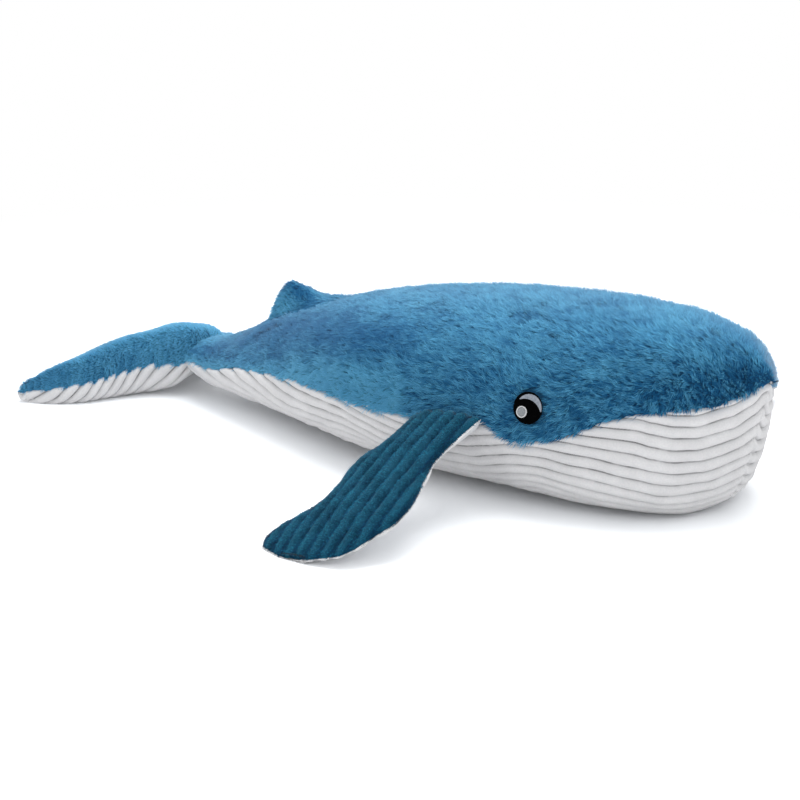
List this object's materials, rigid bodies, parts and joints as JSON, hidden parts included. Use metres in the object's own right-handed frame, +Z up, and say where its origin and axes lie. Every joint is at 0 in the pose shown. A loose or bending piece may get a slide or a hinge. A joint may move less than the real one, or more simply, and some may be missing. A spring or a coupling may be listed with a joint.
{
  "type": "plush whale",
  "caption": "Stuffed whale toy with a furry blue back, ribbed white belly, ribbed side fins, a soft tail that bends, and felt eyes.",
  "frame": {"origin": "centre of the bounding box on the floor under the belly", "axes": "+X from the tail to the nose, +Y to the whale's left, +Z up; the toy is symmetric about the XZ plane"},
  "size_m": [0.688, 0.598, 0.15],
  "materials": {
    "blue_fur": "long soft blue plush pile, combed back, matt",
    "fluke_fur": "short blue plush pile, matt",
    "white_rib": "white plush in wide rounded ribs, matt",
    "blue_rib": "deep teal blue plush in wide rounded ribs, matt",
    "fibre_fill": "loose white polyester fibre",
    "black_felt": "smooth black felt",
    "white_felt": "pale felt and satin stitches",
    "grey_felt": "light grey felt"
  },
  "bodies": {
    "torso": {"back_fur_right": "blue_fur", "back_fur_left": "blue_fur", "belly_rib_right": "white_rib", "belly_rib_left": "white_rib", "torso_fill": "fibre_fill", "eye_disc_right": "black_felt", "eye_crescent_right": "grey_felt", "eye_glint_right": "white_felt", "eye_ring_right": "white_felt", "eye_disc_left": "black_felt", "eye_crescent_left": "grey_felt", "eye_glint_left": "white_felt", "eye_ring_left": "white_felt"},
    "tail_stock": {"tail_fur_right": "blue_fur", "tail_fur_left": "blue_fur", "tail_belly_right": "white_rib", "tail_belly_left": "white_rib", "tail_fill": "fibre_fill"},
    "fluke": {"fluke_top": "fluke_fur", "fluke_underside": "white_rib", "fluke_fill": "fibre_fill"},
    "right_fin": {"right_fin_top": "blue_rib", "right_fin_underside": "white_rib", "right_fin_fill": "fibre_fill"},
    "left_fin": {"left_fin_top": "blue_rib", "left_fin_underside": "white_rib", "left_fin_fill": "fibre_fill"}
  },
  "joints": [
    {"name": "tail_bend", "type": "hinge", "parent": "torso", "child": "tail_stock", "pos_m": [-0.17806, 0, 0.0405], "axis": [0, 1, 0], "range_deg": [-20, 30], "stiffness_Nm_per_rad": 0.6},
    {"name": "fluke_bend", "type": "hinge", "parent": "tail_stock", "child": "fluke", "pos_m": [-0.24305, 0, 0.036], "axis": [0, 1, 0], "range_deg": [-30, 35], "stiffness_Nm_per_rad": 0.25},
    {"name": "right_fin_fold", "type": "hinge", "parent": "torso", "child": "right_fin", "pos_m": [0.12532, -0.12691, 0.068], "axis": [-0.9945, 0, -0.1045], "range_deg": [-45, 75], "stiffness_Nm_per_rad": 0.12},
    {"name": "left_fin_fold", "type": "hinge", "parent": "torso", "child": "left_fin", "pos_m": [0.12532, 0.12691, 0.068], "axis": [0.9945, 0, 0.1045], "range_deg": [-45, 75], "stiffness_Nm_per_rad": 0.12}
  ]
}
